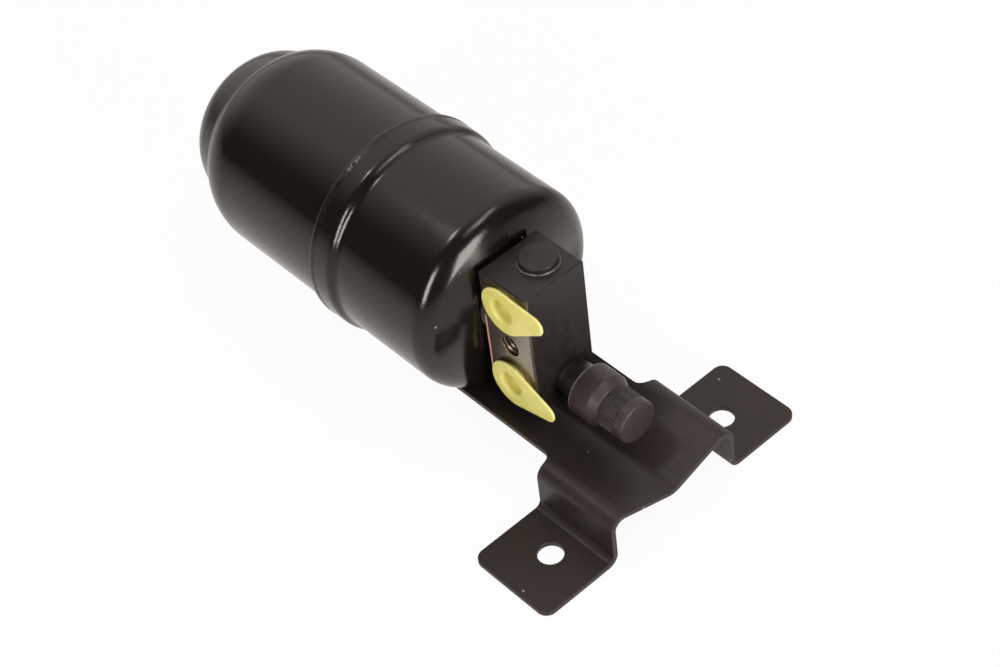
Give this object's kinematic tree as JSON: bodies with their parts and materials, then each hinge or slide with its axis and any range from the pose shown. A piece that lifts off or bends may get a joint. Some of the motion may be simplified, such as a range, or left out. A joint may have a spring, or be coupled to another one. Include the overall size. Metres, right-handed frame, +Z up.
{
  "type": "receiver drier",
  "caption": "Welded steel drier canister carried on a folded T-shaped bracket, with a ported connection block, a capped service port and push-in dust plugs.",
  "frame": {"origin": "midway between the two foot holes, on the underside of the feet", "axes": "+X along the canister from its tail towards the connection block; +Y from foot to foot; +Z up out of the feet"},
  "size_m": [0.2154, 0.117, 0.0925],
  "materials": {
    "canister_paint": "smooth semi-gloss black enamel",
    "bracket_paint": "satin black enamel on pressed sheet",
    "weld_paint": "black enamel over a rippled bead",
    "block_coat": "satin black over machined steel, port face left bright",
    "braze": "thin bright braze",
    "valve_steel": "blackened turned steel",
    "core_brass": "turned brass",
    "spring_steel": "drawn wire",
    "seal_rubber": "matt black",
    "cap_plastic": "dark moulded plastic, slightly satin",
    "plug_plastic": "soft yellow moulding",
    "tube_aluminium": "drawn tube",
    "strainer_plastic": "white moulding",
    "plate_steel": "pressed and perforated",
    "felt": "dense filter felt",
    "desiccant": "packed beads"
  },
  "bodies": {
    "housing": {"bracket": "bracket_paint", "bracket_weld_left": "weld_paint", "bracket_weld_right": "weld_paint", "front_shell": "canister_paint", "rear_shell": "canister_paint", "girth_weld": "weld_paint", "port_block": "block_coat", "block_braze": "weld_paint", "cross_drill_plug": "block_coat", "cross_plug_braze": "braze", "service_valve_body": "valve_steel", "valve_base_seal": "seal_rubber", "valve_core_body": "core_brass", "valve_core_spring": "spring_steel", "pickup_tube": "tube_aluminium", "tube_strainer": "strainer_plastic", "upper_plate": "plate_steel", "lower_plate": "plate_steel", "upper_felt": "felt", "lower_felt": "felt", "desiccant_charge": "desiccant", "bed_spring": "spring_steel"},
    "cap_seal": {"cap_gasket": "seal_rubber"},
    "cap": {"service_cap": "cap_plastic"},
    "valve_pin": {"valve_core_pin": "core_brass", "valve_core_seal": "seal_rubber"},
    "upper_plug": {"upper_port_plug": "plug_plastic"},
    "lower_plug": {"lower_port_plug": "plug_plastic"}
  },
  "joints": [
    {"name": "cap_travel", "type": "slide", "parent": "housing", "child": "cap_seal", "axis": [1, 0, 0], "range_m": [0, 0.00875]},
    {"name": "cap_unscrew", "type": "hinge", "parent": "cap_seal", "child": "cap", "pos_m": [-0.01, 0.0032, 0.0288], "axis": [1, 0, 0], "range_deg": [0, 2520]},
    {"name": "pin_press", "type": "slide", "parent": "housing", "child": "valve_pin", "axis": [-1, 0, 0], "range_m": [0, 0.0014], "stiffness_N_per_m": 1500, "springref_m": -0.0008, "deforming": ["valve_core_spring"]},
    {"name": "upper_plug_pull", "type": "slide", "parent": "housing", "child": "upper_plug", "axis": [0, -1, 0], "range_m": [0, 0.014]},
    {"name": "lower_plug_pull", "type": "slide", "parent": "housing", "child": "lower_plug", "axis": [0, -1, 0], "range_m": [0, 0.014]}
  ],
  "couplings": [
    {"joint": "cap_travel", "follows": "cap_unscrew", "m_per_rad": 0.00019894}
  ]
}
